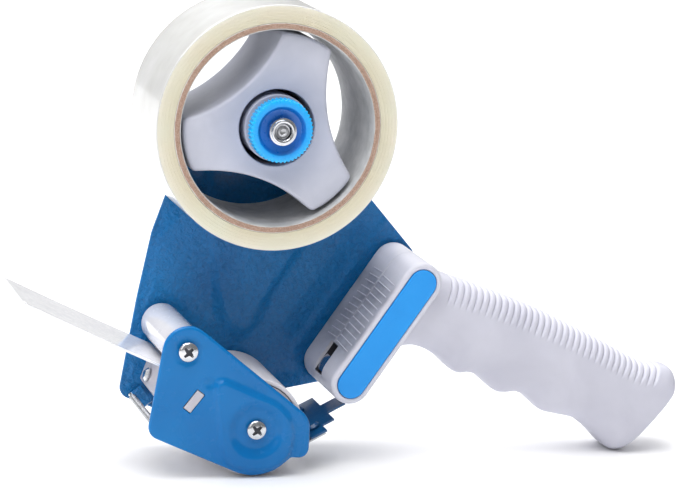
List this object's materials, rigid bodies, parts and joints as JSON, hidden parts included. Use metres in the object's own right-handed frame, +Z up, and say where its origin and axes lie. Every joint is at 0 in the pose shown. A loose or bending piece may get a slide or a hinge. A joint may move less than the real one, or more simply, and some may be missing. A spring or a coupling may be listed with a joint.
{
  "type": "packing tape dispenser",
  "caption": "Pistol-grip packing tape dispenser: a wide roll on a braked hub, guide and application rollers between side plates, a flexible leaf and a toothed cutter.",
  "frame": {"origin": "bottom centre of the whole object as it stands on a table, on its application roller and the lower tip of the grip", "axes": "+X from the rollers towards the end of the grip, +Y from the small side plate towards the frame plate, +Z up"},
  "size_m": [0.2756, 0.063, 0.1851],
  "materials": {
    "frame_paint": "wrinkled baked enamel, satin",
    "carrier_paint": "thin baked enamel with bare cut edges",
    "plate_gloss": "smooth glossy enamel",
    "grey_plastic": "moulded, satin",
    "handle_plastic": "moulded, fine satin",
    "hub_plastic": "moulded, satin",
    "roller_rubber": "smooth hard rubber",
    "inlay_plastic": "moulded, satin",
    "knob_plastic": "moulded, semi-gloss",
    "leaf_plastic": "smooth semi-gloss",
    "chrome_steel": "bright plated",
    "blade_steel": "ground",
    "tape_film": "wound clear film, slightly milky",
    "cardboard": "raw wound board",
    "felt": "pressed felt"
  },
  "bodies": {
    "frame": {"frame_plate": "frame_paint", "spring_bracket": "frame_paint", "near_plate": "plate_gloss", "guide_axle": "chrome_steel", "guide_screw_near": "chrome_steel", "guide_screw_far": "chrome_steel", "application_axle": "chrome_steel", "application_screw_near": "chrome_steel", "application_screw_far": "chrome_steel", "leaf_holder": "grey_plastic", "holder_screw_near": "chrome_steel", "holder_screw_far": "chrome_steel", "guard_rod": "chrome_steel", "guard_spring": "chrome_steel", "spindle_bolt": "chrome_steel", "spindle_nut": "chrome_steel", "friction_washer": "felt", "knob_locknut": "chrome_steel", "handle_shell_near": "handle_plastic", "handle_shell_far": "handle_plastic", "handle_inlay": "inlay_plastic", "shell_screw_1": "chrome_steel", "shell_screw_2": "chrome_steel", "shell_screw_3": "chrome_steel", "plate_screw_1": "chrome_steel", "plate_screw_2": "chrome_steel", "latch_spring": "blade_steel", "blade_carrier": "carrier_paint", "cutting_blade": "blade_steel", "blade_rivet_1": "chrome_steel", "blade_rivet_2": "chrome_steel"},
    "roll": {"hub": "hub_plastic", "tape_core": "cardboard", "tape_roll": "tape_film", "brake_washer": "chrome_steel", "brake_spring": "chrome_steel"},
    "knob": {"brake_knob": "knob_plastic"},
    "application_roller": {"application_core": "grey_plastic", "application_sleeve": "roller_rubber"},
    "guide_roller": {"guide_roller": "grey_plastic"},
    "leaf": {"leaf": "leaf_plastic"}
  },
  "joints": [
    {"name": "roll_spin", "type": "hinge", "parent": "frame", "child": "roll", "pos_m": [-0.04036, 0.0011, 0.1375], "axis": [0, 1, 0], "continuous": true},
    {"name": "knob_turn", "type": "hinge", "parent": "frame", "child": "knob", "pos_m": [-0.04036, -0.0259, 0.1375], "axis": [0, 1, 0], "range_deg": [-360, 360]},
    {"name": "application_roller_spin", "type": "hinge", "parent": "frame", "child": "application_roller", "pos_m": [-0.04516, 0.0011, 0.0195], "axis": [0, 1, 0], "continuous": true},
    {"name": "guide_roller_spin", "type": "hinge", "parent": "frame", "child": "guide_roller", "pos_m": [-0.07336, 0.0011, 0.0512], "axis": [0, 1, 0], "continuous": true},
    {"name": "leaf_flex", "type": "hinge", "parent": "frame", "child": "leaf", "pos_m": [-0.07686, 0.0011, 0.042], "axis": [0, 1, 0], "range_deg": [-12, 15], "stiffness_Nm_per_rad": 0.3}
  ]
}
